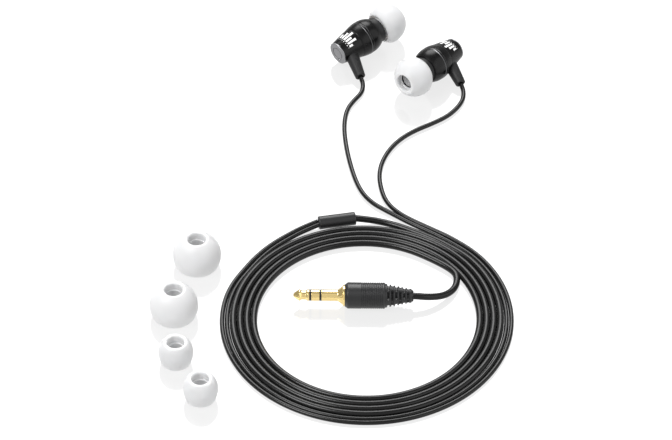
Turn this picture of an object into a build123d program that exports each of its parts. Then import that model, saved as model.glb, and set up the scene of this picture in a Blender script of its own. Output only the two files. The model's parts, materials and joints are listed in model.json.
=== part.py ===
from build123d import *
from math import atan2, cos, pi, radians, sin, sqrt, tan
import os

# A pair of in ear monitors with their leads, splitter, coiled cord, stereo plug and spare ear tips,
# lying on a flat surface. Millimetres. +Z is up and z = 0 is the surface. The origin lies under
# the middle of the monitors and the spare ear tips. Round pieces are drawn as half outlines, given
# as (radius, distance along the axis).

# ---------------------------------------------------------------- driving dimensions
# barrel of a monitor, distances from its rear face towards the ear
CAP_R = 3.65
CAP_THICK = 0.45
CAP_EDGE = 0.3
CAP_SPIGOT_R = 2.65
CAP_SPIGOT_END = 1.5
GROOVE = (1.95, 2.2, 0.22)  # inner radius, outer radius and depth of the ring groove in the cap
NOTCH_R = 0.3
NOTCH_DEPTH = 0.35
NOTCH_ANGLE = 65.0  # below the horizontal
BOOT_STATION = 4.6
BOOT_START = 3.0  # distance of the boot's inner end from the barrel's axis
BOOT_TAPER_START = 5.0
BOOT_R = 2.05
BOOT_END_R = 1.6
RING_START = 10.0
RING_END = 11.0
RING_R = 5.6
RING_BEVEL = 0.14
BARREL_END = 15.0
BARREL_END_R = 4.55
COLLAR_R = 3.65
COLLAR_END = 17.15
NOZZLE_R = 2.7
NOZZLE_END = 23.2
NOZZLE_BORE_R = 2.0
SCREEN_R = 2.35
SCREEN_SEAT = 22.8
SCREEN_THICK = 0.25
SPIGOT_R = 4.6
SPIGOT_END = 12.0
CAVITY_R = 4.1
LAY_TILT = 4.66  # the barrel rests on its widest ring and on the ear tip

# ear tips: (ball radius, rim radius, height of the ball's middle over the rim, wall, sound hole radius,
# start of the stem over the rim); the mounted one closes in round the end of the collar
TIP_BORE_R = 2.75
TIP_STEM_WALL = 0.65
TIP_LIP = 0.5
NECK_LEDGE = 0.3
NECK_THICK = 0.6
MEDIUM_TIP = (6.4, 4.5, 3.3, 0.6, 2.7, 0.4)
LARGE_TIP = (7.4, 6.2, 4.1, 0.65, 2.74, 0.7)
SMALL_TIP = (5.25, 4.2, 4.6, 0.55, 2.6, 0.7)
MEDIUM_RIM = 16.9  # distance of the mounted tip's rim from the rear face

# plug, distances from the tip of the jack
JACK_R = 1.75
TIP_CONTACT_END = 4.9
RING_CONTACT = (5.5, 8.0)
SLEEVE_START = 8.6
PIN_R = 0.5  # each contact carries a tube to the rear, one inside the other
RING_TUBE_R = 1.05
FRONT_TUBE_R = 0.8
REAR_TUBE_R = 1.3
CORE = (17.0, 26.0)
CORE_R = 3.1
SLEEVE_TAIL_R = 2.3
FLANGE_R = 3.3
FLARE_START = 13.6
FLARE_END = 15.2
BODY_START = 15.7
BODY_R = 4.0
BODY_END = 27.9
RELIEF_END = 36.6
RELIEF_BALL_R = 1.5  # round end of the relief, which the plug lifts about
RELIEF_START_R = 3.75
RELIEF_END_R = 1.7
RELIEF_RIBS = 5
PLUG_HEADING = 179.3
RELIEF_PLACE = (30.5, -43.2)

# cords
MAIN_D = 2.1
LEAD_D = 1.4
LEAD_GAP = 0.78  # half the distance between the middles of the two leads of the twin lead
COIL_CENTRE = (15.7, -50.2)
COIL_INNER_R = 32.1
COIL_OUTER_R = 45.0
COIL_BACK_R = 41.2
COIL_BACK = (56.0, 142.0)
CORNER_SHARE = 0.45

# splitter
SPLITTER_D = 4.1
SPLITTER_RIGHT = (12.9, -5.5)
SPLITTER_LEFT = (1.5, -7.7)

# where things lie: middle of the ear tip's ball, heading of the barrel in degrees from +X, lead exit
MONITORS = {
    "left": ((22.8, 83.1), 40.0, (14.7, 62.3, 1.75)),
    "right": ((31.6, 57.1), 230.0, (46.4, 58.9, 1.75)),
}
SPARE_TIPS = {
    "spare_tip_large_a": ((-35.6, -24.5), LARGE_TIP),
    "spare_tip_large_b": ((-42.2, -47.4), LARGE_TIP),
    "spare_tip_small_a": ((-41.2, -68.5), SMALL_TIP),
    "spare_tip_small_b": ((-33.5, -84.5), SMALL_TIP),
}

# routes of the cords, chosen by hand
PLUG_TAIL = [
    (30.75, -43.2, 4.0),
    (35.1, -42.9, 3.2),
    (39.7, -40.9, 1.9),
    (42.9, -37.1, 1.05),
    (44.0, -32.6, 1.05),
    (43.0, -28.5, 1.05),
]
SPLITTER_TAIL = [
    (40.2, -16.4, 1.05),
    (35.4, -13.1, 1.05),
    (30.5, -10.4, 1.05),
    (26.2, -8.1, 1.05),
    (21.8, -6.3, 1.05),
    (17.2, -5.6, 1.6),
    (12.9, -5.5, 2.05),
]
TWIN_START = [
    (1.5, -7.7, 2.05),
    (-3.2, -9.8, 1.4),
    (-7.9, -12.8, 0.75),
    (-12.5, -16.9, 0.75),
    (-16.1, -21.2, 0.75),
    (-19.0, -25.5, 0.75),
]
LEFT_LEAD = [
    (14.8, 62.0, 1.65),
    (15.6, 59.2, 1.0),
    (15.0, 55.6, 0.75),
    (12.7, 52.2, 0.75),
    (10.6, 48.2, 0.75),
    (9.6, 43.0, 0.75),
    (9.5, 36.5, 0.75),
    (10.3, 28.0, 0.75),
    (11.6, 20.0, 0.75),
    (13.2, 12.9, 0.75),
    (15.2, 7.4, 0.75),
    (18.2, 3.0, 0.75),
    (22.0, -0.2, 0.75),
    (25.8, -3.2, 0.75),
    (29.4, -6.1, 0.75),
    (35.4, -10.2, 0.75),
    (41.5, -14.7, 0.75),
]
RIGHT_LEAD = [
    (46.55, 58.6, 1.65),
    (47.3, 55.9, 1.0),
    (47.0, 52.4, 0.75),
    (45.2, 48.4, 0.75),
    (41.9, 44.2, 0.75),
    (37.0, 40.7, 0.75),
    (31.3, 37.2, 0.75),
    (26.7, 33.0, 0.75),
    (23.2, 27.6, 0.75),
    (21.0, 21.6, 0.75),
    (20.3, 15.8, 0.75),
    (20.8, 10.4, 0.75),
    (21.9, 5.2, 0.75),
    (24.0, 1.0, 0.75),
    (27.0, -2.3, 0.75),
    (30.2, -4.9, 0.75),
    (36.2, -9.0, 0.75),
    (42.4, -13.2, 0.75),
]

os.makedirs("parts", exist_ok=True)


def save(piece, name):
    """Labels a finished piece and writes it."""
    piece.part.label = name
    export_step(piece.part, f"parts/{name}.step")


def side_plane(origin, along, side):
    """The plane that half outlines are drawn on: x runs out from the axis, y runs along it."""
    return Plane(origin=origin, x_dir=side, z_dir=side.cross(along))


def axis_of(plane):
    return Axis(plane.origin, plane.y_dir)


def turned(plane, outline):
    """A round piece with straight edges: its half outline turned about the plane's axis."""
    with BuildPart() as piece:
        with BuildSketch(plane):
            with BuildLine():
                Polyline(*outline, close=True)
            make_face()
        revolve(axis=axis_of(plane))
    return piece


def ring(plane, inner, outer, start, end):
    """A plain ring or, with no inner radius, a disc."""
    return turned(plane, [(inner, start), (outer, start), (outer, end), (inner, end)])


# ---------------------------------------------------------------- ear tips
def ear_tip(plane, size, rim, neck_step):
    """A silicone mushroom: outer dome, stem with the nozzle's bore, and a sound hole in the top."""
    ball_r, rim_r, middle, wall, hole_r, stem_start = size
    centre = rim + middle
    lip_r = hole_r + TIP_LIP
    lip_height = centre + sqrt(ball_r**2 - lip_r**2)
    neck_r = hole_r - NECK_LEDGE
    stem_r = TIP_BORE_R + TIP_STEM_WALL
    inner_r = ball_r - wall
    stem_top = centre + sqrt(inner_r**2 - stem_r**2)
    half = sqrt(0.5)
    with BuildPart() as tip:
        with BuildSketch(plane):
            with BuildLine():
                Line((rim_r - wall, rim), (rim_r, rim))
                TangentArc((ball_r, centre), (rim_r, rim), tangent=(0, -1))
                ThreePointArc(
                    (ball_r, centre),
                    (ball_r * half, centre + ball_r * half),
                    (lip_r, lip_height),
                )
                ThreePointArc(
                    (lip_r, lip_height),
                    (hole_r + 0.12, lip_height + 0.02),
                    (hole_r, lip_height - 0.4),
                )
                Polyline(
                    (hole_r, lip_height - 0.4),
                    (hole_r, neck_step + NECK_THICK),
                    (neck_r, neck_step + NECK_THICK),
                    (neck_r, neck_step),
                    (TIP_BORE_R, neck_step),
                    (TIP_BORE_R, rim + stem_start),
                    (stem_r, rim + stem_start),
                    (stem_r, stem_top),
                )
                ThreePointArc(
                    (stem_r, stem_top),
                    (inner_r * sin(radians(65)), centre + inner_r * cos(radians(65))),
                    (inner_r, centre),
                )
                TangentArc((inner_r, centre), (rim_r - wall, rim), tangent=(0, -1))
            make_face()
        revolve(axis=axis_of(plane))
    return tip


# ---------------------------------------------------------------- monitor, from the ear to the rear
def front_shell(plane):
    """Front half of the barrel, with the collar and the nozzle that the ear tip slips over."""
    edge_r = RING_R - RING_BEVEL
    side_r = RING_R - 0.03
    with BuildPart() as shell:
        with BuildSketch(plane):
            with BuildLine():
                Polyline((SPIGOT_R, RING_END), (edge_r, RING_END), (side_r, RING_END + 0.12))
                ThreePointArc((side_r, RING_END + 0.12), (5.28, 13.35), (BARREL_END_R, BARREL_END))
                Polyline(
                    (BARREL_END_R, BARREL_END),
                    (COLLAR_R, BARREL_END),
                    (COLLAR_R, COLLAR_END - 0.15),
                    (COLLAR_R - 0.15, COLLAR_END),
                    (NOZZLE_R, COLLAR_END),
                    (NOZZLE_R, NOZZLE_END - 0.15),
                    (NOZZLE_R - 0.15, NOZZLE_END),
                    (SCREEN_R, NOZZLE_END),
                    (SCREEN_R, SCREEN_SEAT),
                    (NOZZLE_BORE_R, SCREEN_SEAT),
                    (NOZZLE_BORE_R, 14.4),
                    (3.7, 14.4),
                    (SPIGOT_R, 12.6),
                    (SPIGOT_R, RING_END),
                )
            make_face()
        revolve(axis=axis_of(plane))
    return shell


def trim_ring(plane):
    """Narrow ring between the shells; its bevelled edges make the two bright lines."""
    edge = RING_R - RING_BEVEL
    outline = [
        (SPIGOT_R, RING_START),
        (edge, RING_START),
        (RING_R, RING_START + RING_BEVEL),
        (RING_R, RING_END - RING_BEVEL),
        (edge, RING_END),
        (SPIGOT_R, RING_END),
    ]
    return turned(plane, outline)


def boot(root, out):
    """Tapered rubber strain relief, from inside the rear shell to the exit of the lead."""
    axis = (out - root).normalized()
    side = axis.cross(Vector(0, 0, 1)).normalized()
    plane = side_plane(root, axis, side)
    length = (out - root).length
    with BuildPart() as piece:
        with BuildSketch(plane):
            with BuildLine():
                Polyline(
                    (0, length),
                    (0, BOOT_START),
                    (BOOT_R, BOOT_START),
                    (BOOT_R, BOOT_TAPER_START),
                    (BOOT_END_R, length - 0.5),
                )
                TangentArc((BOOT_END_R, length - 0.5), (BOOT_END_R - 0.5, length), tangent=(0, 1))
                Line((BOOT_END_R - 0.5, length), (0, length))
            make_face()
        revolve(axis=axis_of(plane))
    return piece, plane


def rear_shell(plane, strain_relief):
    """Rear cone of the barrel, with a spigot into the front shell and a hole for the boot."""
    side_r = RING_R - 0.03
    with BuildPart() as shell:
        with BuildSketch(plane):
            with BuildLine():
                Polyline(
                    (CAP_SPIGOT_R, CAP_THICK),
                    (CAP_R, CAP_THICK),
                )
                ThreePointArc((CAP_R, CAP_THICK), (4.37, 3.7), (4.98, 6.9))
                Polyline((4.98, 6.9), (4.9, 6.96), (4.92, 7.08), (5.02, 7.14))
                ThreePointArc((5.02, 7.14), (5.37, 8.5), (side_r, RING_START - 0.12))
                Polyline(
                    (side_r, RING_START - 0.12),
                    (RING_R - RING_BEVEL, RING_START),
                    (SPIGOT_R, RING_START),
                    (SPIGOT_R, SPIGOT_END),
                    (CAVITY_R, SPIGOT_END),
                    (CAVITY_R, 8.4),
                    (3.2, 3.2),
                    (CAP_SPIGOT_R, 2.4),
                    (CAP_SPIGOT_R, CAP_THICK),
                )
            make_face()
        revolve(axis=axis_of(plane))
        add(strain_relief.part, mode=Mode.SUBTRACT)
    return shell


def end_cap(plane):
    """Satin disc that closes the rear, with a ring groove, a small notch in it and a plug-in spigot."""
    groove_in, groove_out, depth = GROOVE
    face_r = CAP_R - CAP_EDGE
    notch_way = plane.z_dir * sin(radians(NOTCH_ANGLE)) - plane.x_dir * cos(radians(NOTCH_ANGLE))
    notch = plane.origin + notch_way * (groove_in + groove_out) / 2
    with BuildPart() as cap:
        with BuildSketch(plane):
            with BuildLine():
                Polyline(
                    (0, 0),
                    (groove_in, 0),
                    (groove_in, depth),
                    (groove_out, depth),
                    (groove_out, 0),
                    (face_r, 0),
                )
                TangentArc((face_r, 0), (CAP_R, CAP_EDGE), tangent=(1, 0))
                Polyline(
                    (CAP_R, CAP_EDGE),
                    (CAP_R, CAP_THICK),
                    (CAP_SPIGOT_R, CAP_THICK),
                    (CAP_SPIGOT_R, CAP_SPIGOT_END),
                    (0, CAP_SPIGOT_END),
                    (0, 0),
                )
            make_face()
        revolve(axis=axis_of(plane))
        with BuildSketch(Plane(origin=notch, z_dir=plane.y_dir)):
            Circle(NOTCH_R)
        extrude(amount=NOTCH_DEPTH, mode=Mode.SUBTRACT)
    return cap


def driver_frame(plane):
    outline = [
        (3.2, 10.4),
        (3.9, 10.4),
        (3.9, SPIGOT_END),
        (SPIGOT_R - 0.02, SPIGOT_END),
        (SPIGOT_R - 0.02, 12.55),
        (3.85, 12.55),
        (3.85, 12.3),
        (3.6, 12.3),
        (3.6, 11.0),
        (3.2, 11.0),
    ]
    return turned(plane, outline)


def yoke(plane):
    outline = [(0, 9.0), (3.2, 9.0), (3.2, 11.2), (2.75, 11.2), (2.75, 9.6), (0, 9.6)]
    return turned(plane, outline)


def diaphragm(plane):
    """Thin film: a flat ring with a shallow dome in the middle."""
    underside = [(0, 12.7), (1.0, 12.62), (1.8, 12.45), (2.5, 12.2), (3.5, 12.2)]
    upper_side = [(3.5, 12.3), (2.5, 12.3), (1.8, 12.55), (1.0, 12.72), (0, 12.8)]
    return turned(plane, underside + upper_side)


def monitor(side_name):
    """Builds and writes every piece of one monitor."""
    (tip_x, tip_y), heading, exit_point = MONITORS[side_name]
    flat = Vector(cos(radians(heading)), sin(radians(heading)), 0)
    along = flat * cos(radians(LAY_TILT)) + Vector(0, 0, sin(radians(LAY_TILT)))
    across = Vector(0, 0, 1).cross(flat)
    ball_middle = MEDIUM_RIM + MEDIUM_TIP[2]
    rear = Vector(tip_x, tip_y, MEDIUM_TIP[0]) - along * ball_middle
    plane = side_plane(rear, along, across)
    relief, relief_plane = boot(rear + along * BOOT_STATION, Vector(*exit_point))

    pieces = {
        "ear_tip": ear_tip(plane, MEDIUM_TIP, MEDIUM_RIM, NOZZLE_END + 0.1),
        "nozzle_mesh": ring(plane, 0, SCREEN_R, SCREEN_SEAT, SCREEN_SEAT + SCREEN_THICK),
        "acoustic_damper": ring(plane, 0, NOZZLE_BORE_R, 18.0, 19.0),
        "front_shell": front_shell(plane),
        "trim_ring": trim_ring(plane),
        "rear_shell": rear_shell(plane, relief),
        "end_cap": end_cap(plane),
        "boot": relief,
        "driver_frame": driver_frame(plane),
        "yoke": yoke(plane),
        "magnet": ring(plane, 0, 2.3, 9.6, 10.8),
        "top_plate": ring(plane, 0, 2.3, 10.8, 11.2),
        "voice_coil": ring(plane, 2.42, 2.62, 10.5, 12.2),
        "diaphragm": diaphragm(plane),
        "terminal_board": ring(plane, 0, 2.6, 8.4, 9.0),
        "cord_crimp": ring(relief_plane, 0, 1.0, 1.2, BOOT_START),
    }
    for name, piece in pieces.items():
        save(piece, f"{side_name}_{name}")
    boot_way = (Vector(*exit_point) - rear - along * BOOT_STATION).normalized()
    print(side_name, "axis", along)
    print(side_name, "rear", rear, "boot to barrel angle", round(along.get_angle(boot_way), 1))


# ---------------------------------------------------------------- plug
def plug_plane():
    along = Vector(-cos(radians(PLUG_HEADING)), -sin(radians(PLUG_HEADING)), 0)
    relief_end = Vector(RELIEF_PLACE[0], RELIEF_PLACE[1], BODY_R)
    jack_end = relief_end - along * RELIEF_END
    return side_plane(jack_end, along, Vector(0, 0, 1).cross(along))


def jack_tip(plane):
    """Arrow-shaped tip contact on a long pin."""
    with BuildPart() as tip:
        with BuildSketch(plane):
            with BuildLine():
                ThreePointArc((0, 0), (0.42, 0.1), (0.75, 0.45))
                Polyline(
                    (0.75, 0.45),
                    (JACK_R, 1.85),
                    (JACK_R, 2.05),
                    (1.4, 2.5),
                    (1.4, 3.9),
                    (JACK_R, 4.35),
                    (JACK_R, TIP_CONTACT_END),
                    (PIN_R, TIP_CONTACT_END),
                    (PIN_R, CORE[0] - 0.6),
                    (0, CORE[0] - 0.6),
                    (0, 0),
                )
            make_face()
        revolve(axis=axis_of(plane))
    return tip


def stepped_ring(plane, inner, tube_outer, start, end, tube_end):
    """A contact or insulator ring with the tube that carries it to the rear."""
    outline = [
        (inner, start),
        (JACK_R, start),
        (JACK_R, end),
        (tube_outer, end),
        (tube_outer, tube_end),
        (inner, tube_end),
    ]
    return turned(plane, outline)


def jack_sleeve(plane):
    outline = [
        (REAR_TUBE_R, SLEEVE_START),
        (JACK_R, SLEEVE_START),
        (JACK_R, FLARE_START),
        (FLANGE_R - 0.4, FLARE_END - 0.2),
        (FLANGE_R, FLARE_END),
        (FLANGE_R, BODY_START),
        (SLEEVE_TAIL_R, BODY_START),
        (SLEEVE_TAIL_R, CORE[0]),
        (REAR_TUBE_R, CORE[0]),
    ]
    return turned(plane, outline)


def plug_body(plane):
    """Grip of the plug: bevelled front, plain stretch, then fine grip lines."""
    grip_lines = 10
    first_line = 20.9
    pitch = 0.62
    outline = [(SLEEVE_TAIL_R, BODY_START), (3.35, BODY_START), (BODY_R, BODY_START + 0.9)]
    for line in range(grip_lines):
        start = first_line + line * pitch
        outline += [(BODY_R, start), (BODY_R - 0.1, start + 0.1), (BODY_R - 0.1, start + 0.22)]
        outline += [(BODY_R, start + 0.32)]
    outline += [(BODY_R, BODY_END - 0.3), (BODY_R - 0.3, BODY_END), (0, BODY_END), (0, CORE[1])]
    outline += [(CORE_R, CORE[1]), (CORE_R, CORE[0]), (SLEEVE_TAIL_R, CORE[0])]
    return turned(plane, outline)


def plug_relief(plane):
    """Strain relief of the plug: a core with ribs that shrink towards the cord, and a round end."""
    ball_middle = RELIEF_END - RELIEF_BALL_R
    pitch = (ball_middle - BODY_END) / RELIEF_RIBS
    slot = 0.5
    outline = [(0, BODY_END)]
    for rib in range(RELIEF_RIBS):
        start = BODY_END + rib * pitch
        rib_r = RELIEF_START_R + (RELIEF_END_R - RELIEF_START_R) * rib / (RELIEF_RIBS - 1)
        core_r = max(rib_r - 0.75, RELIEF_END_R - 0.35)
        outline += [(rib_r, start), (rib_r - 0.12, start + pitch - slot)]
        outline += [(core_r, start + pitch - slot), (core_r, start + pitch)]
    for angle in (0, 25, 50, 75):
        across = RELIEF_BALL_R * cos(radians(angle))
        outline.append((across, ball_middle + RELIEF_BALL_R * sin(radians(angle))))
    return turned(plane, outline + [(0, RELIEF_END)])


def plug():
    """Builds and writes every piece of the plug."""
    plane = plug_plane()
    ring_start, ring_end = RING_CONTACT
    pieces = {
        "jack_tip": jack_tip(plane),
        "insulator_front": stepped_ring(plane, PIN_R, FRONT_TUBE_R, TIP_CONTACT_END, ring_start, 15.9),
        "jack_ring": stepped_ring(plane, FRONT_TUBE_R, RING_TUBE_R, ring_start, ring_end, 15.5),
        "insulator_rear": stepped_ring(plane, RING_TUBE_R, REAR_TUBE_R, ring_end, SLEEVE_START, 15.0),
        "jack_sleeve": jack_sleeve(plane),
        "plug_core": ring(plane, 0, CORE_R, *CORE),
        "plug_body": plug_body(plane),
        "plug_relief": plug_relief(plane),
    }
    for name, piece in pieces.items():
        save(piece, name)


# ---------------------------------------------------------------- splitter
def splitter():
    """Round moulding where the twin lead becomes the main cord, with an inner mould."""
    right = Vector(*SPLITTER_RIGHT, SPLITTER_D / 2)
    left = Vector(*SPLITTER_LEFT, SPLITTER_D / 2)
    along = (left - right).normalized()
    plane = side_plane(right, along, Vector(0, 0, 1).cross(along))
    length = (left - right).length
    outer = SPLITTER_D / 2
    edge = 0.45
    with BuildPart() as shell:
        with BuildSketch(plane):
            with BuildLine():
                Line((1.2, 0), (outer - edge, 0))
                TangentArc((outer - edge, 0), (outer, edge), tangent=(1, 0))
                Line((outer, edge), (outer, length - edge))
                TangentArc((outer, length - edge), (outer - edge, length), tangent=(0, 1))
                Polyline((outer - edge, length), (1.2, length), (1.2, 0))
            make_face()
        revolve(axis=axis_of(plane))
    save(shell, "splitter_shell")
    save(ring(plane, 0, 1.2, 0, length), "splitter_core")


# ---------------------------------------------------------------- cords
def bend_radii(route):
    """As large an arc at each corner of a route as its two runs allow."""
    radii = []
    for before, corner, after in zip(route, route[1:], route[2:]):
        run_in = Vector(*corner) - Vector(*before)
        run_out = Vector(*after) - Vector(*corner)
        half_turn = radians(run_in.get_angle(run_out)) / 2
        radii.append(CORNER_SHARE * min(run_in.length, run_out.length) / tan(half_turn))
    return radii


def cord_tube(name, route, diameter):
    """A plain round cord along straight runs joined by tangent arcs."""
    radii = bend_radii(route)
    with BuildPart() as tube:
        with BuildLine() as path:
            FilletPolyline(*route, radius=radii)
        with BuildSketch(Plane(origin=path.line @ 0, z_dir=path.line % 0)):
            Circle(diameter / 2)
        sweep()
    length = path.wire().length
    ratio = tube.part.volume / (pi * diameter**2 / 4 * length)
    print(name, "bend radii", [round(r, 1) for r in radii])
    print(name, "length", round(length, 1), "volume ratio", round(ratio, 4))
    save(tube, name)


def beside(route, offset):
    """A route moved sideways in plan, to its left when the offset is above zero."""
    moved = []
    for index, (x, y, z) in enumerate(route):
        before = route[max(index - 1, 0)]
        after = route[min(index + 1, len(route) - 1)]
        heading = atan2(after[1] - before[1], after[0] - before[0])
        moved.append((x - offset * sin(heading), y + offset * cos(heading), z))
    return moved


def cord_coil():
    """Outer shape of the flat coil: a ring with its back left free for the splitter."""
    start, end = COIL_BACK
    beyond = COIL_OUTER_R + 5
    with BuildPart() as coil:
        with BuildSketch(Plane(origin=(*COIL_CENTRE, 0))):
            with Locations((0.7, 0.3)):
                Circle(COIL_OUTER_R)
            with BuildLine():
                inner_arc = CenterArc((0, 0), COIL_BACK_R, start, end - start)
                outer_arc = CenterArc((0, 0), beyond, start, end - start)
                Line(inner_arc @ 0, outer_arc @ 0)
                Line(inner_arc @ 1, outer_arc @ 1)
            make_face(mode=Mode.SUBTRACT)
            Circle(COIL_INNER_R, mode=Mode.SUBTRACT)
        extrude(amount=MAIN_D)
    save(coil, "cord_coil")


def cords():
    cord_coil()
    cord_tube("plug_tail", PLUG_TAIL, MAIN_D)
    cord_tube("splitter_tail", SPLITTER_TAIL, MAIN_D)
    cord_tube("left_lead_start", beside(TWIN_START, LEAD_GAP), LEAD_D)
    cord_tube("right_lead_start", beside(TWIN_START, -LEAD_GAP), LEAD_D)
    cord_tube("left_lead", LEFT_LEAD, LEAD_D)
    cord_tube("right_lead", RIGHT_LEAD, LEAD_D)


# ---------------------------------------------------------------- spare ear tips
def spare_tips():
    for name, ((x, y), size) in SPARE_TIPS.items():
        plane = side_plane(Vector(x, y, 0), Vector(0, 0, 1), Vector(1, 0, 0))
        save(ear_tip(plane, size, 0.0, size[0]), name)


for side_name in MONITORS:
    monitor(side_name)
plug()
splitter()
cords()
spare_tips()
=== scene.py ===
import bmesh
import bpy
import json
from math import atan2, cos, pi, radians, sin, sqrt, tan
from mathutils import Matrix, Vector


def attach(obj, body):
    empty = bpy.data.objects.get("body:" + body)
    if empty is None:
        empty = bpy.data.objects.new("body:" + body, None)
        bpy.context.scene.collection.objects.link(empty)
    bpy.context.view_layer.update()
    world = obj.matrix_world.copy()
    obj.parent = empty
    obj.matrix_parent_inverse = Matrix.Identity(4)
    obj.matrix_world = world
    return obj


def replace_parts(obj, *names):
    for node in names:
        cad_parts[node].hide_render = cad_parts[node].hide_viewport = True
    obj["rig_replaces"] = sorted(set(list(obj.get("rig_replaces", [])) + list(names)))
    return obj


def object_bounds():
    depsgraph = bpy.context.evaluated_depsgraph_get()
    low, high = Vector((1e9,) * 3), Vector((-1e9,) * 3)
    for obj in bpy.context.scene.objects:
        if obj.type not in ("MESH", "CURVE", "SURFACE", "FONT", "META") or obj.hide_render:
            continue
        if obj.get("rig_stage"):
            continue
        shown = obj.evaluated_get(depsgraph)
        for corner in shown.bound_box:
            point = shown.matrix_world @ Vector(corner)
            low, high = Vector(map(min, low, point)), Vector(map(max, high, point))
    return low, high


# In ear monitors with their leads, splitter, coiled cord, stereo plug and spare ear tips, on a pale
# glossy floor. Sizes and places are in millimetres, as in the CAD source, and MM turns them into
# metres where a mesh, a curve or a matrix is made. Round pieces are half outlines of corners,
# (radius, distance along the axis, rounding), turned about their own Z axis.

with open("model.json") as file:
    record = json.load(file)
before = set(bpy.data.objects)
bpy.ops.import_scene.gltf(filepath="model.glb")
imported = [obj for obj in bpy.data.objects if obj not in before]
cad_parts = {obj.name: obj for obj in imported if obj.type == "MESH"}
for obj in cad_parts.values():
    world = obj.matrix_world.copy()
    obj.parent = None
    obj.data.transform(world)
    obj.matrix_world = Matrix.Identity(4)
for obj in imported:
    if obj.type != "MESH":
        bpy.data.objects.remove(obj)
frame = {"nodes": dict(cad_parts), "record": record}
cad_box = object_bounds()

MM = 0.001
UP = Vector((0, 0, 1))

# ---------------------------------------------------------------- sizes shared with the CAD source
LAY_TILT = 4.66
RIM_STATION = 16.9
BOOT_STATION = 4.6
RING_R = 5.6
SIDES = {
    "left": {"ball": (22.8, 83.1), "heading": 40.0, "exit": (14.7, 62.3, 1.75), "print": 8.0},
    "right": {"ball": (31.6, 57.1), "heading": 230.0, "exit": (46.4, 58.9, 1.75), "print": -6.0},
}
# ball radius, rim radius, height of the ball's middle over the rim, wall, sound hole radius, stem start
MEDIUM_TIP = (6.4, 4.5, 3.3, 0.6, 2.7, 0.4)
LARGE_TIP = (7.4, 6.2, 4.1, 0.65, 2.74, 0.7)
SMALL_TIP = (5.25, 4.2, 4.6, 0.55, 2.6, 0.7)
SPARE_TIPS = {
    "spare_tip_large_a": ((-35.6, -24.5), LARGE_TIP),
    "spare_tip_large_b": ((-42.2, -47.4), LARGE_TIP),
    "spare_tip_small_a": ((-41.2, -68.5), SMALL_TIP),
    "spare_tip_small_b": ((-33.5, -84.5), SMALL_TIP),
}
PLUG_HEADING = 179.3
RELIEF_END = 36.6
BODY_R = 4.0
PLUG_PLACE = (30.5, -43.2, 4.0)
SPLITTER_RIGHT = (12.9, -5.5, 2.05)
SPLITTER_LEFT = (1.5, -7.7, 2.05)
COIL_CENTRE = (15.7, -50.2)
MAIN_D = 2.1
LEAD_D = 1.45
LEAD_GAP = 0.78
COIL_WIDE, COIL_DEEP = 0.99, 1.025  # the coil is slightly deeper than wide
TURN_PITCH = 2.12
FIRST_TURN_R = 33.2
FIRST_ANGLE = 38.0
LAST_ANGLE = 1494.0

PLUG_TAIL = [
    (29.2, -43.2, 4.0),
    (30.75, -43.2, 4.0),
    (35.1, -42.9, 3.2),
    (39.7, -40.9, 1.9),
    (42.9, -37.1, 1.05),
    (44.0, -32.6, 1.05),
    (43.0, -28.5, 1.05),
]
SPLITTER_TAIL = [
    (40.2, -16.4, 1.05),
    (35.4, -13.1, 1.05),
    (30.5, -10.4, 1.05),
    (26.2, -8.1, 1.05),
    (21.8, -6.3, 1.05),
    (17.2, -5.6, 1.6),
    (12.9, -5.5, 2.05),
]
TWIN_START = [
    (1.5, -7.7, 2.05),
    (-3.2, -9.8, 1.4),
    (-7.9, -12.8, 0.75),
    (-12.5, -16.9, 0.75),
    (-16.1, -21.2, 0.75),
    (-19.0, -25.5, 0.75),
]
LEFT_LEAD = [
    (14.58, 62.65, 1.86),
    (14.8, 62.0, 1.65),
    (15.6, 59.2, 1.0),
    (15.0, 55.6, 0.75),
    (12.7, 52.2, 0.75),
    (10.6, 48.2, 0.75),
    (9.6, 43.0, 0.75),
    (9.5, 36.5, 0.75),
    (10.3, 28.0, 0.75),
    (11.6, 20.0, 0.75),
    (13.2, 12.9, 0.75),
    (15.2, 7.4, 0.75),
    (18.2, 3.0, 0.75),
    (22.0, -0.2, 0.75),
    (25.8, -3.2, 0.75),
    (29.4, -6.1, 0.75),
    (35.4, -10.2, 0.75),
    (41.5, -14.7, 0.75),
]
RIGHT_LEAD = [
    (46.24, 59.25, 1.87),
    (46.55, 58.6, 1.65),
    (47.3, 55.9, 1.0),
    (47.0, 52.4, 0.75),
    (45.2, 48.4, 0.75),
    (41.9, 44.2, 0.75),
    (37.0, 40.7, 0.75),
    (31.3, 37.2, 0.75),
    (26.7, 33.0, 0.75),
    (23.2, 27.6, 0.75),
    (21.0, 21.6, 0.75),
    (20.3, 15.8, 0.75),
    (20.8, 10.4, 0.75),
    (21.9, 5.2, 0.75),
    (24.0, 1.0, 0.75),
    (27.0, -2.3, 0.75),
    (30.2, -4.9, 0.75),
    (36.2, -9.0, 0.75),
    (42.4, -13.2, 0.75),
]


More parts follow.
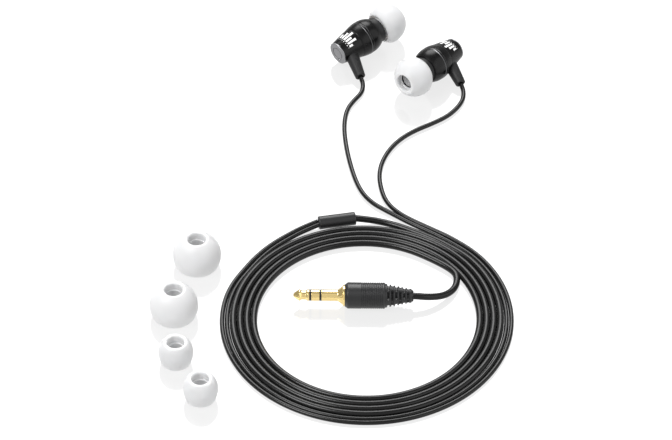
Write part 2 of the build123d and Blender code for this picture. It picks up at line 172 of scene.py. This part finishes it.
# ---------------------------------------------------------------- finishes
def finish(
    name, base, rough, grain,
    rough_spread=0.1, tint=0.1, relief=0.0, stretch=(1, 1, 1), **shader_values,
):
    """A finish whose tint, roughness and relief vary with noise of that grain size in millimetres."""
    made = bpy.data.materials.new(name)
    made.use_nodes = True
    nodes, link = made.node_tree.nodes, made.node_tree.links.new
    shader = nodes["Principled BSDF"]
    for socket, value in shader_values.items():
        shader.inputs[socket.replace("_", " ")].default_value = value
    place = nodes.new("ShaderNodeTexCoord")
    scale = nodes.new("ShaderNodeMapping")
    scale.inputs["Scale"].default_value = [share / (grain * MM) for share in stretch]
    noise = nodes.new("ShaderNodeTexNoise")
    noise.inputs["Scale"].default_value = 1.0
    noise.inputs["Detail"].default_value = 4.0
    colour = nodes.new("ShaderNodeMix")
    colour.data_type = "RGBA"
    colour.inputs["A"].default_value = [channel * (1 - tint) for channel in base] + [1]
    colour.inputs["B"].default_value = [min(1.0, channel * (1 + tint)) for channel in base] + [1]
    level = nodes.new("ShaderNodeMapRange")
    level.inputs["To Min"].default_value = rough - rough_spread
    level.inputs["To Max"].default_value = rough + rough_spread
    link(place.outputs["Object"], scale.inputs["Vector"])
    link(scale.outputs["Vector"], noise.inputs["Vector"])
    link(noise.outputs["Fac"], colour.inputs["Factor"])
    link(colour.outputs["Result"], shader.inputs["Base Color"])
    link(noise.outputs["Fac"], level.inputs["Value"])
    link(level.outputs["Result"], shader.inputs["Roughness"])
    if relief:
        bump = nodes.new("ShaderNodeBump")
        bump.inputs["Distance"].default_value = relief * MM
        bump.inputs["Strength"].default_value = 1.0
        link(noise.outputs["Fac"], bump.inputs["Height"])
        link(bump.outputs["Normal"], shader.inputs["Normal"])
    return made


SILICONE = finish(
    "silicone", (0.66, 0.66, 0.665), 0.4, 0.5, tint=0.01, relief=0.002,
    Subsurface_Weight=1.0, Subsurface_Radius=(1.0, 0.97, 0.94), Subsurface_Scale=2 * MM, IOR=1.4,
)
ANODISED = finish(
    "anodised_black", (0.002, 0.002, 0.0021), 0.27, 0.09,
    rough_spread=0.03, tint=0.2, relief=0.001, IOR=1.33,
)
TURNED_GREY = finish(
    "satin_grey", (0.3, 0.3, 0.31), 0.4, 0.12, rough_spread=0.08, tint=0.15, relief=0.001, Metallic=1.0,
)
CUT_EDGE = finish(
    "cut_edge", (0.16, 0.16, 0.165), 0.38, 0.1, tint=0.2, stretch=(0.1, 0.1, 1), Metallic=1.0,
)
BOOT_RUBBER = finish(
    "boot_rubber", (0.01, 0.01, 0.0105), 0.52, 0.18, tint=0.25, relief=0.006, IOR=1.38,
)
COLLAR_RUBBER = finish(
    "collar_rubber", (0.012, 0.012, 0.0125), 0.5, 0.15, tint=0.2, relief=0.004, IOR=1.42,
)
PLUG_RUBBER = finish(
    "plug_moulding", (0.011, 0.0112, 0.012), 0.37, 0.14, tint=0.3, relief=0.006, IOR=1.48,
)
CORD_JACKET = finish(
    "cord_jacket", (0.003, 0.003, 0.003), 0.25, 0.35,
    rough_spread=0.02, tint=0.2, relief=0.0008, IOR=1.38,
)
GOLD = finish(
    "gold_plate", (1.0, 0.76, 0.33), 0.13, 0.2,
    rough_spread=0.03, tint=0.03, stretch=(0.1, 0.1, 1), Metallic=1.0,
)
INSULATOR = finish(
    "insulator_black", (0.004, 0.004, 0.004), 0.3, 0.1, tint=0.1,
)
SCREEN_STEEL = finish(
    "screen_steel", (0.6, 0.6, 0.61), 0.4, 0.05, tint=0.1,
)
INK = finish(
    "white_ink", (0.82, 0.82, 0.82), 0.5, 0.06, tint=0.06, relief=0.002,
)
INNER_FINISHES = {
    "felt": finish("felt", (0.5, 0.5, 0.5), 0.9, 0.08, tint=0.3, relief=0.02),
    "black_plastic": finish("black_plastic", (0.02, 0.02, 0.02), 0.5, 0.1, tint=0.2, relief=0.003),
    "bright_steel": finish("bright_steel", (0.7, 0.7, 0.72), 0.22, 0.1, tint=0.05, Metallic=1.0),
    "copper": finish(
        "copper", (0.72, 0.36, 0.2), 0.3, 0.05, tint=0.15, stretch=(0.1, 0.1, 1), Metallic=1.0,
    ),
    "film": finish("film", (0.75, 0.72, 0.65), 0.35, 0.3, tint=0.05, relief=0.004),
    "board": finish("board", (0.03, 0.2, 0.08), 0.4, 0.2, tint=0.15, relief=0.003),
    "boot_rubber": BOOT_RUBBER,
}


# ---------------------------------------------------------------- outlines and meshes
def arc(centre, radius, start, end, steps):
    """Points of an arc in the outline plane, its angles in degrees from the outward direction."""
    points = []
    for step in range(steps + 1):
        angle = radians(start + (end - start) * step / steps)
        points.append((centre[0] + radius * cos(angle), centre[1] + radius * sin(angle)))
    return points


def rounded(corners, steps=4):
    """The points of a closed outline, from corners that may hold a rounding as a third value."""
    points = []
    for index, corner in enumerate(corners):
        here = Vector(corner[:2])
        if len(corner) < 3:
            points.append(tuple(here))
            continue
        back = Vector(corners[index - 1][:2]) - here
        ahead = Vector(corners[(index + 1) % len(corners)][:2]) - here
        half = back.angle(ahead) / 2
        reach = min(corner[2] / tan(half), 0.49 * back.length, 0.49 * ahead.length)
        middle = (back.normalized() + ahead.normalized()).normalized()
        centre = here + middle * (reach / cos(half))
        first = here + back.normalized() * reach - centre
        last = here + ahead.normalized() * reach - centre
        start = atan2(first.y, first.x)
        sweep = (atan2(last.y, last.x) - start + pi) % (2 * pi) - pi
        for step in range(steps + 1):
            angle = start + sweep * step / steps
            points.append((centre.x + first.length * cos(angle), centre.y + first.length * sin(angle)))
    return points


def mesh_object(name, points, faces, matrix, material):
    """A smooth mesh with its creases kept, from points in millimetres."""
    mesh = bpy.data.meshes.new(name)
    mesh.from_pydata([tuple(value * MM for value in point) for point in points], [], faces)
    tidy = bmesh.new()
    tidy.from_mesh(mesh)
    bmesh.ops.remove_doubles(tidy, verts=tidy.verts, dist=1e-8)
    bmesh.ops.recalc_face_normals(tidy, faces=tidy.faces)
    tidy.to_mesh(mesh)
    tidy.free()
    mesh.shade_smooth()
    mesh.set_sharp_from_angle(angle=radians(32))
    mesh.materials.append(material)
    piece = bpy.data.objects.new(name, mesh)
    bpy.context.scene.collection.objects.link(piece)
    piece.matrix_world = matrix
    even = piece.modifiers.new("even_shading", "WEIGHTED_NORMAL")
    even.keep_sharp = True
    return piece


def lathe(name, outline, matrix, material, segments=96, radius_at=None):
    """A closed half outline turned about the local Z axis; radius_at may change a point's radius."""
    points = []
    for turn in range(segments):
        angle = 2 * pi * turn / segments
        for radius, height in outline:
            if radius_at:
                radius = radius_at(radius, height, angle)
            points.append((radius * cos(angle), radius * sin(angle), height))
    count = len(outline)
    faces = []
    for turn in range(segments):
        this, other = turn * count, (turn + 1) % segments * count
        for step in range(count):
            after = (step + 1) % count
            if outline[step][0] or outline[after][0]:
                faces.append((this + step, other + step, other + after, this + after))
    return mesh_object(name, points, faces, matrix, material)


def stand(origin, axis, side=UP):
    """The place of a piece whose own Z runs along axis and whose own X points to side."""
    z = Vector(axis).normalized()
    x = (Vector(side) - z * z.dot(Vector(side))).normalized()
    matrix = Matrix((x, z.cross(x), z)).transposed().to_4x4()
    matrix.translation = Vector(origin) * MM
    return matrix


def settle(piece, body, slot, *nodes):
    """Puts a finished piece on its body and in the place of the CAD nodes that it shows."""
    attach(piece, body)
    if nodes:
        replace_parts(piece, *nodes)
    return piece


# ---------------------------------------------------------------- ear tips
def tip_outline(size, ledge):
    """Half outline of an ear tip from its rim: skirt, dome, rolled lip, sound hole, ledge and stem."""
    ball_r, rim_r, middle, wall, hole_r, stem_start = size
    bore_r, stem_r = 2.75, 3.4
    roll = 0.62
    inner_r = ball_r - wall
    skirt = (ball_r - rim_r) / 2 + middle**2 / (ball_r - rim_r) / 2
    skirt_turn = atan2(middle, skirt - ball_r + rim_r) * 180 / pi
    outer_skirt = arc((ball_r - skirt, middle), skirt, -skirt_turn + 3, -1.5, 14)
    inner_skirt = arc((ball_r - skirt, middle), skirt - wall, -1.5, -skirt_turn + 3, 12)
    roll_height = sqrt((ball_r - roll) ** 2 - (hole_r + roll) ** 2)
    roll_turn = atan2(roll_height, hole_r + roll) * 180 / pi
    dome = arc((0, middle), ball_r, 0, roll_turn, 30)
    lip = arc((hole_r + roll, middle + roll_height), roll, roll_turn + 8, 180, 10)
    stem_top = sqrt(inner_r**2 - stem_r**2)
    stem_turn = atan2(stem_top, stem_r) * 180 / pi
    ceiling = arc((0, middle), inner_r, stem_turn, 0, 18)
    channel = [
        (hole_r, ledge + 0.6, 0.1),
        (hole_r - 0.3, ledge + 0.6, 0.12),
        (hole_r - 0.3, ledge, 0.1),
        (bore_r, ledge, 0.1),
        (bore_r, stem_start, 0.2),
        (stem_r, stem_start, 0.2),
        (stem_r, middle + stem_top, 0.3),
    ]
    return outer_skirt + dome + lip + rounded(channel) + ceiling + inner_skirt


def ear_tip(name, size, ledge, matrix, body, node):
    """One silicone ear tip with a faint mould line round its skirt."""
    middle = size[2]
    line = middle - 1.1

    def mould_line(radius, height, angle):
        near = max(0.0, 1 - abs(height - line) / 0.16)
        return radius + 0.035 * near if radius > size[1] else radius

    piece = lathe(name, tip_outline(size, ledge), matrix, SILICONE, 128, mould_line)
    settle(piece, body, "white_silicone", node)


# ---------------------------------------------------------------- monitors
CAP = [
    (0, 0),
    (1.95, 0, 0.05),
    (1.95, 0.22),
    (2.2, 0.22),
    (2.2, 0, 0.05),
    (3.65, 0, 0.3),
    (3.65, 0.45, 0.04),
    (2.65, 0.45),
    (2.65, 1.5),
    (0, 1.5),
]
CONE_START, CONE_END = (3.65, 0.5), (4.98, 6.9)
CONE_BULGE = 0.05
REAR_GROOVE = [(4.9, 6.96), (4.92, 7.08), (5.0, 7.12)]
REAR_INSIDE = [(RING_R - 0.13, 10.0), (4.2, 10.0), (4.2, 8.4), (2.65, 3.0), (2.65, 0.5)]
FRONT_CUP = [(4.55, 15.0, 0.28), (3.4, 15.0), (3.4, 14.4), (4.6, 12.6), (4.6, 11.0)]
COLLAR = [(2.7, 14.6), (4.1, 14.6), (4.25, 16.75, 0.3), (2.7, 16.75)]
NOZZLE = [(2.0, 14.6), (2.7, 14.6), (2.7, 23.2, 0.15), (2.35, 23.2, 0.05), (2.35, 22.8), (2.0, 22.8)]


def bulge(start, middle, end, steps=14):
    """Points of the smooth arc through three points of an outline."""
    (ax, ay), (bx, by), (cx, cy) = start, middle, end
    d = 2 * (ax * (by - cy) + bx * (cy - ay) + cx * (ay - by))
    a2, b2, c2 = ax * ax + ay * ay, bx * bx + by * by, cx * cx + cy * cy
    x = (a2 * (by - cy) + b2 * (cy - ay) + c2 * (ay - by)) / d
    y = (a2 * (cx - bx) + b2 * (ax - cx) + c2 * (bx - ax)) / d
    first = atan2(ay - y, ax - x) * 180 / pi
    last = atan2(cy - y, cx - x) * 180 / pi
    return arc((x, y), sqrt((ax - x) ** 2 + (ay - y) ** 2), first, last, steps)


def chamfer_line(name, station, way, matrix, side):
    """Thin cut edge beside the trim ring."""
    outline = [
        (RING_R - 0.4, station + way * 0.02),
        (RING_R - 0.13, station),
        (RING_R + 0.005, station + way * 0.15),
        (RING_R - 0.03, station + way * 0.19),
        (RING_R - 0.4, station + way * 0.19),
    ]
    edge = lathe(name, outline, matrix, CUT_EDGE)
    settle(edge, side + "_monitor", "anodised_black", side + "_trim_ring")


def woven_screen(name, matrix, body, node):
    """Round wire screen: two sets of wavy wires over and under each other."""
    radius, pitch, wire, sides = 2.33, 0.29, 0.055, 6
    points, faces = [], []
    rows = int(radius / pitch)
    for across in (False, True):
        for row in range(-rows, rows + 1):
            half = sqrt(radius**2 - (row * pitch) ** 2)
            steps = max(6, int(half / pitch * 8))
            base = len(points)
            for step in range(steps + 1):
                x = -half + 2 * half * step / steps
                wave = wire * cos(pi * x / pitch + pi * (row + across))
                for spoke in range(sides):
                    angle = 2 * pi * spoke / sides
                    u, v = row * pitch + wire * cos(angle), wave + wire * sin(angle)
                    points.append((u, x, v) if across else (x, u, v))
            for step in range(steps):
                for spoke in range(sides):
                    here, there = base + step * sides + spoke, base + step * sides + (spoke + 1) % sides
                    faces.append((here, there, there + sides, here + sides))
    piece = mesh_object(name, points, faces, matrix, SCREEN_STEEL)
    settle(piece, body, "screen_steel", node)


def cone_radius(station):
    """Radius of the slightly bulging rear cone."""
    share = (station - CONE_START[1]) / (CONE_END[1] - CONE_START[1])
    straight = CONE_START[0] + (CONE_END[0] - CONE_START[0]) * share
    return straight + 4 * CONE_BULGE * share * (1 - share)


def level_print(name, facing, matrix, body):
    """Generic white print on the rear cone: sound level bars over a thin line."""
    heights = [1.5, 2.7, 3.7, 2.2, 3.1, 1.2]
    bar, gap, foot, lift = 0.64, 0.34, 2.9, 0.012
    points, faces = [], []

    def patch(middle, width, low, high):
        """A small curved patch lying on the cone, its width measured round the cone."""
        strips = 6
        base = len(points)
        for row in range(3):
            station = low + (high - low) * row / 2
            radius = cone_radius(station) + lift
            for strip in range(strips + 1):
                angle = radians(facing) + (middle + width * (strip / strips - 0.5)) / 4.1
                points.append((radius * cos(angle), radius * sin(angle), station))
        for row in range(2):
            for strip in range(strips):
                corner = base + row * (strips + 1) + strip
                faces.append((corner, corner + 1, corner + strips + 2, corner + strips + 1))

    reach = (len(heights) - 1) / 2 * (bar + gap)
    for index, height in enumerate(heights):
        patch(index * (bar + gap) - reach, bar, foot, foot + height)
    patch(0, 2 * reach + bar, foot - 0.55, foot - 0.3)
    piece = mesh_object(name, points, faces, matrix, INK)
    settle(piece, body, "anodised_black")


def notch(cap):
    """Cuts the small notch into the groove of the end cap."""
    groove_r, notch_r, depth, angle = 2.07, 0.3, 0.34, radians(155)
    place = Vector((groove_r * cos(angle), groove_r * sin(angle), 0))
    outline = [(0, -0.2), (notch_r, -0.2), (notch_r, depth), (0, depth)]
    cutter = lathe("notch_cutter", outline, Matrix(), INSULATOR, 32)
    cutter.matrix_world = cap.matrix_world @ Matrix.Translation(place * MM)
    cut = cap.modifiers.new("notch", "BOOLEAN")
    cut.object = cutter
    cut.operation = "DIFFERENCE"
    bpy.context.view_layer.objects.active = cap
    bpy.context.view_layer.update()
    bpy.ops.object.modifier_move_to_index(modifier="notch", index=0)
    bpy.ops.object.modifier_apply(modifier="notch")
    bpy.data.objects.remove(cutter)


def monitor(side):
    """Every visible piece of one monitor, from the ear tip to the boot."""
    facts = SIDES[side]
    body = side + "_monitor"
    heading = radians(facts["heading"])
    flat = Vector((cos(heading), sin(heading), 0))
    along = flat * cos(radians(LAY_TILT)) + UP * sin(radians(LAY_TILT))
    ball = Vector((*facts["ball"], MEDIUM_TIP[0]))
    rear = ball - along * (RIM_STATION + MEDIUM_TIP[2])
    matrix = stand(rear, along)
    rim = stand(rear + along * RIM_STATION, along)
    ear_tip(side + "_silicone_tip", MEDIUM_TIP, 23.3 - RIM_STATION, rim, side + "_tip", side + "_ear_tip")

    cap = lathe(side + "_rear_cap", rounded(CAP), matrix, TURNED_GREY)
    notch(cap)
    settle(cap, body, "satin_grey", side + "_end_cap")
    cone = [(cone_radius(station), station) for station in (0.5, 1.5, 2.5, 3.5, 4.5, 5.5, 6.3, 6.9)]
    cone += REAR_GROOVE + bulge((5.02, 7.14), (5.37, 8.5), (RING_R - 0.03, 9.86)) + REAR_INSIDE
    settle(lathe(side + "_rear_cone", cone, matrix, ANODISED), body, "anodised_black", side + "_rear_shell")
    band = rounded([(4.6, 10.16), (RING_R, 10.16, 0.03), (RING_R, 10.84, 0.03), (4.6, 10.84)])
    settle(lathe(side + "_trim_band", band, matrix, ANODISED), body, "anodised_black", side + "_trim_ring")
    chamfer_line(side + "_trim_line_rear", 10.0, 1, matrix, side)
    chamfer_line(side + "_trim_line_front", 11.0, -1, matrix, side)
    cup = [(RING_R - 0.13, 11.0)] + bulge((RING_R - 0.03, 11.12), (5.28, 13.35), (4.6, 14.9))
    cup += rounded(FRONT_CUP)
    settle(lathe(side + "_front_cup", cup, matrix, ANODISED), body, "anodised_black", side + "_front_shell")
    settle(lathe(side + "_collar", rounded(COLLAR), matrix, COLLAR_RUBBER), body, "boot_rubber")
    settle(lathe(side + "_nozzle", rounded(NOZZLE), matrix, ANODISED), body, "anodised_black")
    screen = stand(rear + along * 22.93, along, flat.cross(UP) + UP)
    woven_screen(side + "_woven_screen", screen, body, side + "_nozzle_mesh")
    level_print(side + "_level_print", facts["print"], matrix, body)

    root = rear + along * BOOT_STATION
    out = Vector(facts["exit"])
    length = (out - root).length
    mouth_depth = 0.3
    boot = rounded([
        (0, 2.6),
        (2.05, 2.6),
        (2.05, 5.0, 2.0),
        (1.6, length, 0.55),
        (1.0, length, 0.1),
        (0.95, length - mouth_depth),
        (0, length - mouth_depth),
    ], 6)

    def seam(radius, height, angle):
        return radius + 0.03 * max(0.0, 1 - abs(sin(angle)) / 0.05)

    piece = lathe(side + "_strain_boot", boot, stand(root, out - root), BOOT_RUBBER, 128, seam)
    settle(piece, body, "boot_rubber", side + "_boot")


# ---------------------------------------------------------------- plug
JACK_TIP = [
    (0, 0),
    (0.45, 0.06, 0.25),
    (0.8, 0.45, 0.3),
    (1.75, 1.82, 0.08),
    (1.75, 2.05, 0.08),
    (1.4, 2.5, 0.2),
    (1.4, 3.9, 0.2),
    (1.75, 4.35, 0.08),
    (1.75, 4.88, 0.04),
    (0, 4.88),
]
RING_CONTACT = [(0, 5.52), (1.75, 5.52, 0.04), (1.75, 7.98, 0.04), (0, 7.98)]
SLEEVE = [
    (0, 8.62),
    (1.75, 8.62, 0.04),
    (1.75, 13.6, 0.5),
    (2.9, 15.0, 0.3),
    (3.3, 15.2, 0.1),
    (3.3, 15.72, 0.08),
    (0, 15.72),
]
FRONT_INSULATOR = [(0, 4.8), (1.72, 4.8), (1.72, 5.6), (0, 5.6)]
REAR_INSULATOR = [(0, 7.9), (1.72, 7.9), (1.72, 8.7), (0, 8.7)]


def grip_outline():
    """Plug body: bevelled front, plain stretch, then twelve fine grip lines."""
    low = BODY_R - 0.12
    corners = [(0, 15.7), (3.4, 15.7, 0.12), (BODY_R, 16.6, 0.35)]
    for line in range(12):
        start = 20.7 + line * 0.56
        corners += [(BODY_R, start, 0.05), (low, start + 0.12, 0.03), (low, start + 0.2, 0.03)]
        corners += [(BODY_R, start + 0.32, 0.05)]
    return rounded(corners + [(BODY_R, 27.9, 0.35), (0, 27.9)], 3)


def relief_outline():
    """Strain relief before its slots are cut: a cone with enough points to take them."""
    wide, narrow, start, end, steps = 3.7, 2.1, 27.8, 35.8, 120
    points = [(0, 27.6), (wide, 27.6)]
    for step in range(steps + 1):
        share = step / steps
        points.append((wide + (narrow - wide) * share, start + (end - start) * share))
    return points + rounded([(2.05, 36.3, 0.3), (1.3, 36.55, 0.1), (1.2, 36.0), (0, 36.0)])


def slotted(radius, height, angle):
    """Cuts the slots of the strain relief: pairs of slots, each turned a quarter from the last."""
    first, last, pitch, depth, core_r = 28.3, 35.5, 1.2, 1.2, 1.15
    if radius < 1.3 or not first < height < last:
        return radius
    number = int((height - first) / pitch)
    place = (height - first) / pitch - number
    turned = angle + (pi / 2 if number % 2 else 0)
    reach = min(1.0, max(0.0, (abs(cos(turned)) - 0.3) * 9))
    cut = min(1.0, max(0.0, (0.28 - abs(place - 0.5)) * 12))
    return radius - min(depth, radius - core_r) * reach * cut


def plug():
    """Every visible piece of the plug, along its axis from the tip of the jack."""
    heading = radians(PLUG_HEADING)
    along = Vector((-cos(heading), -sin(heading), 0))
    matrix = stand(Vector(PLUG_PLACE) - along * RELIEF_END, along)
    pieces = [
        ("plug_tip_contact", rounded(JACK_TIP), GOLD, "gold_plate", ["jack_tip"]),
        ("plug_ring_contact", rounded(RING_CONTACT), GOLD, "gold_plate", ["jack_ring"]),
        ("plug_sleeve_contact", rounded(SLEEVE), GOLD, "gold_plate", ["jack_sleeve"]),
        ("plug_front_insulator", FRONT_INSULATOR, INSULATOR, "black_plastic", ["insulator_front"]),
        ("plug_rear_insulator", REAR_INSULATOR, INSULATOR, "black_plastic", ["insulator_rear"]),
        ("plug_grip", grip_outline(), PLUG_RUBBER, "plug_rubber", ["plug_body", "plug_core"]),
    ]
    for name, outline, material, slot, nodes in pieces:
        settle(lathe(name, outline, matrix, material, 128), "plug", slot, *nodes)
    relief = lathe("plug_strain_relief", relief_outline(), matrix, PLUG_RUBBER, 160, slotted)
    settle(relief, "plug", "plug_rubber", "plug_relief")


# ---------------------------------------------------------------- splitter
def splitter():
    """Round moulding of the splitter with a stepped mouth at each end."""
    right, left = Vector(SPLITTER_RIGHT), Vector(SPLITTER_LEFT)
    length = (left - right).length
    outline = [
        (0, 0.5),
        (1.15, 0.5),
        (1.2, 0, 0.1),
        (2.05, 0, 0.5),
        (2.05, length, 0.5),
        (1.2, length, 0.1),
        (1.15, length - 0.5),
        (0, length - 0.5),
    ]
    piece = lathe("splitter_moulding", rounded(outline, 6), stand(right, left - right), PLUG_RUBBER)
    settle(piece, "cord", "boot_rubber", "splitter_shell", "splitter_core")


# ---------------------------------------------------------------- cords
def beside(route, offset):
    """A route moved sideways in plan, to its left when the offset is above zero."""
    moved = []
    for index, (x, y, z) in enumerate(route):
        before = route[max(index - 1, 0)]
        after = route[min(index + 1, len(route) - 1)]
        heading = atan2(after[1] - before[1], after[0] - before[0])
        moved.append((x - offset * sin(heading), y + offset * cos(heading), z))
    return moved


def turn_radius(angle):
    """Distance of the main cord's middle from the coil's centre; the angle grows turn by turn."""
    return FIRST_TURN_R + TURN_PITCH * (angle - FIRST_ANGLE) / 360


def round_coil(start, end, radius_of, height, per_turn=24):
    """Points of coiled cord from one angle to another, set out so that its line has the radius."""
    steps = round(abs(end - start) * per_turn / 360)
    spread = 1 / cos(pi / per_turn)
    points = []
    for step in range(steps + 1):
        angle = start + (end - start) * step / steps
        radius = radius_of(angle) * spread
        x = COIL_CENTRE[0] + radius * COIL_WIDE * cos(radians(angle))
        y = COIL_CENTRE[1] + radius * COIL_DEEP * sin(radians(angle))
        points.append((x, y, height))
    return points


def cord_curve(name, route, diameter):
    """A cord as one smooth curve whose control points are the route."""
    curve = bpy.data.curves.new(name, "CURVE")
    curve.dimensions = "3D"
    curve.resolution_u = 10
    curve.bevel_depth = diameter / 2 * MM
    curve.bevel_resolution = 6
    spline = curve.splines.new("NURBS")
    spline.points.add(len(route) - 1)
    for point, place in zip(spline.points, route):
        point.co = (*[value * MM for value in place], 1)
    spline.order_u = 3
    spline.use_endpoint_u = True
    curve.materials.append(CORD_JACKET)
    piece = bpy.data.objects.new(name, curve)
    bpy.context.scene.collection.objects.link(piece)
    return piece


def cords():
    """The main cord and the two leads, each from end to end, put on the cord body in place of their CAD
    nodes.
    """
    coil = round_coil(LAST_ANGLE, FIRST_ANGLE, turn_radius, MAIN_D / 2)
    main = cord_curve("main_cord", SPLITTER_TAIL[::-1] + coil[1:-1] + PLUG_TAIL[::-1], MAIN_D)
    settle(main, "cord", "cord_jacket", "cord_coil", "plug_tail", "splitter_tail")
    for side, route, offset, way, length in (
        ("left", LEFT_LEAD, 1.83, LEAD_GAP, 0.321),
        ("right", RIGHT_LEAD, 3.35, -LEAD_GAP, 0.330),
    ):
        turn = round_coil(414, 146, lambda angle: turn_radius(1080 + angle) + offset, LEAD_D / 2)
        start = beside(TWIN_START, way)[::-1]
        lead = cord_curve(side + "_lead_cord", route + turn[1:-1] + start, LEAD_D)
        settle(lead, "cord", "cord_jacket", side + "_lead", side + "_lead_start")


# ---------------------------------------------------------------- floor, light and camera
def floor():
    """Wide glossy floor, just under the lowest pieces."""
    mesh = bpy.data.meshes.new("floor")
    half, drop = 6.0, 0.01
    corners = [(-half, -half, 0), (half, -half, 0), (half, half, 0), (-half, half, 0)]
    mesh.from_pydata(corners, [], [(0, 1, 2, 3)])
    mesh.materials.append(finish(
        "floor_white", (0.05, 0.05, 0.05), 0.1, 30, rough_spread=0.01, tint=0.002, IOR=1.6,
        Emission_Color=(1, 1, 1, 1), Emission_Strength=0.8,
    ))
    piece = bpy.data.objects.new("floor", mesh)
    piece.location.z = -drop * MM
    bpy.context.scene.collection.objects.link(piece)
    piece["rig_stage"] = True


def sun(name, azimuth, elevation, width, strength):
    """A soft light from far away; azimuth 0 is behind the camera and 90 is on its right."""
    light = bpy.data.lights.new(name, "SUN")
    light.angle = radians(width)
    light.energy = strength
    lamp = bpy.data.objects.new(name, light)
    a, e = radians(azimuth), radians(elevation)
    way = Vector((sin(a) * cos(e), -cos(a) * cos(e), sin(e)))
    lamp.rotation_mode = "QUATERNION"
    lamp.rotation_quaternion = way.to_track_quat("Z", "Y")
    bpy.context.scene.collection.objects.link(lamp)


def studio():
    """Back panel, left key, two weak fills and a pale surround."""
    sun("back_panel", 184, 46, 40, 2.2)
    sun("left_key", -62, 52, 30, 2.3)
    sun("right_fill", 70, 25, 70, 1.0)
    sun("front_fill", -5, 25, 100, 0.6)
    world = bpy.data.worlds.new("surround")
    world.use_nodes = True
    world.node_tree.nodes["Background"].inputs["Color"].default_value = (1, 1, 1, 1)
    world.node_tree.nodes["Background"].inputs["Strength"].default_value = 0.38
    bpy.context.scene.world = world
    bpy.context.scene.view_settings.view_transform = "Standard"


def camera():
    """Long lens at the height of a product shot, aimed between the coil and the monitors."""
    elevation, distance, lens = 41.6, 1850, 321
    aim = Vector((6.9, -4.0, 0))
    view = Vector((0, -cos(radians(elevation)), sin(radians(elevation))))
    data = bpy.data.cameras.new("camera")
    data.lens = lens
    data.sensor_width = 36
    data.clip_start, data.clip_end = 0.1, 30
    lens_holder = bpy.data.objects.new("camera", data)
    lens_holder.location = (aim + view * distance) * MM
    lens_holder.rotation_mode = "QUATERNION"
    lens_holder.rotation_quaternion = view.to_track_quat("Z", "Y")
    bpy.context.scene.collection.objects.link(lens_holder)
    bpy.context.scene.camera = lens_holder


# ---------------------------------------------------------------- the whole set
for node in frame["record"]["subparts"]:
    inner = INNER_FINISHES.get(node["material_slot"])
    if inner:
        frame["nodes"][node["node"]].data.materials.clear()
        frame["nodes"][node["node"]].data.materials.append(inner)
for side in SIDES:
    monitor(side)
plug()
splitter()
cords()
for name, ((x, y), size) in SPARE_TIPS.items():
    ear_tip(name + "_silicone", size, size[0], stand((x, y, 0), UP, (1, 0, 0)), name, name)
floor()
studio()
camera()

size = {"cad": [list(v) for v in cad_box], "visual": [list(v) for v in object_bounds()]}
